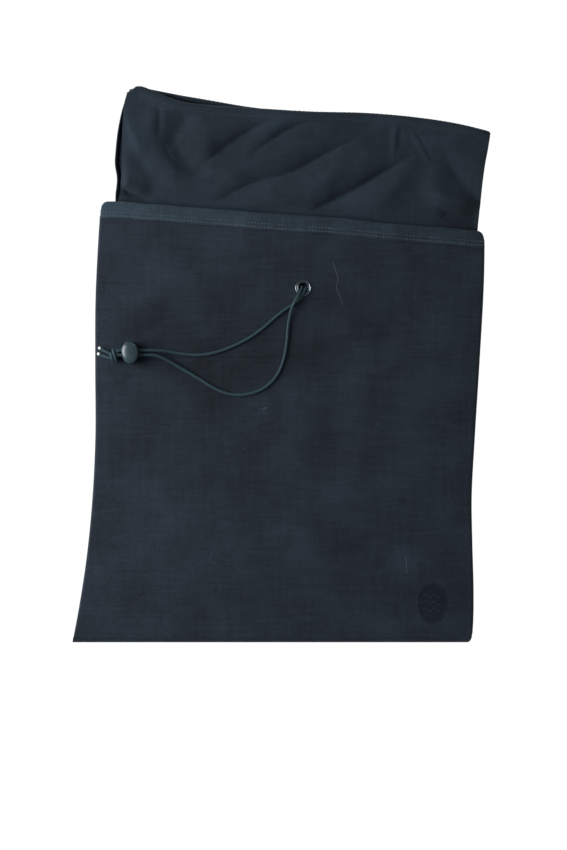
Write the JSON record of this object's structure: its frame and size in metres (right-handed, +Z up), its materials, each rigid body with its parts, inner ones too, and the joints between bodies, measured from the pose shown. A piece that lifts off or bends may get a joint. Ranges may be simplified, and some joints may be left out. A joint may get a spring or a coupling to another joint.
{
  "type": "kayak spray skirt",
  "caption": "Kayak spray skirt folded at the base of its waist tunnel, with a gathered deck rim, hem, eyelet and drawcord with cord lock.",
  "frame": {"origin": "on the floor, in the middle of the outline of the cloth, with the skirt lying folded", "axes": "+X across the waist to the wearer's left as seen from above, +Y from the fold at the base of the tunnel to the hem and the deck rim, +Z up off the floor"},
  "size_m": [0.419, 0.558, 0.031],
  "materials": {
    "coated_cloth": "matte coated woven nylon, dark navy grey",
    "hem_cloth": "matte woven nylon, slightly lighter blue grey",
    "seam_tape": "smooth narrow tape, near black",
    "shock_cord": "braided elastic, black",
    "webbing": "flat woven webbing, black",
    "drawcord": "braided elastic, dark grey teal, white rubber core at the cut ends",
    "emblem": "tone-on-tone transfer print, slightly darker",
    "eyelet_metal": "dark polished gunmetal plating",
    "lock_plastic": "glossy moulded plastic, black",
    "spring_steel": "bright spring wire"
  },
  "bodies": {
    "deck": {"deck_lower_panel": "coated_cloth", "deck_upper_panel": "coated_cloth", "deck_side_left": "coated_cloth", "deck_side_right": "coated_cloth", "rim_casing_lower": "hem_cloth", "rim_casing_upper": "hem_cloth", "rim_shock_cord": "shock_cord", "grab_loop": "webbing", "grab_loop_patch": "webbing", "base_fold_outer": "coated_cloth", "base_fold_inner": "coated_cloth"},
    "tunnel": {"tunnel_front_panel": "coated_cloth", "tunnel_back_panel": "coated_cloth", "tunnel_side_left": "seam_tape", "tunnel_side_right": "seam_tape", "waist_hem_front": "hem_cloth", "waist_hem_back": "hem_cloth", "drawcord_channel_front": "seam_tape", "drawcord_channel_back": "seam_tape", "drawcord_in_channel": "drawcord", "eyelet_flange": "eyelet_metal", "eyelet_washer": "eyelet_metal", "emblem_patch": "emblem", "drawcord_strand_upper": "drawcord", "drawcord_strand_lower": "drawcord", "cord_knot": "drawcord", "cord_tails": "drawcord"},
    "cord_lock": {"cord_lock_body": "lock_plastic", "cord_lock_spring": "spring_steel"},
    "cord_lock_button": {"cord_lock_button": "lock_plastic"}
  },
  "joints": [
    {"name": "tunnel_fold", "type": "hinge", "parent": "deck", "child": "tunnel", "pos_m": [0, -0.27275, 0.00625], "axis": [1, 0, 0], "range_deg": [0, 170], "deforming": ["base_fold_outer", "base_fold_inner"]},
    {"name": "cord_lock_slide", "type": "slide", "parent": "tunnel", "child": "cord_lock", "axis": [1, 0, 0], "range_m": [0, 0.012]},
    {"name": "cord_lock_press", "type": "slide", "parent": "cord_lock", "child": "cord_lock_button", "axis": [0, 0, -1], "range_m": [0, 0.0028], "stiffness_N_per_m": 1500, "springref_m": -0.002, "deforming": ["cord_lock_spring"]}
  ]
}
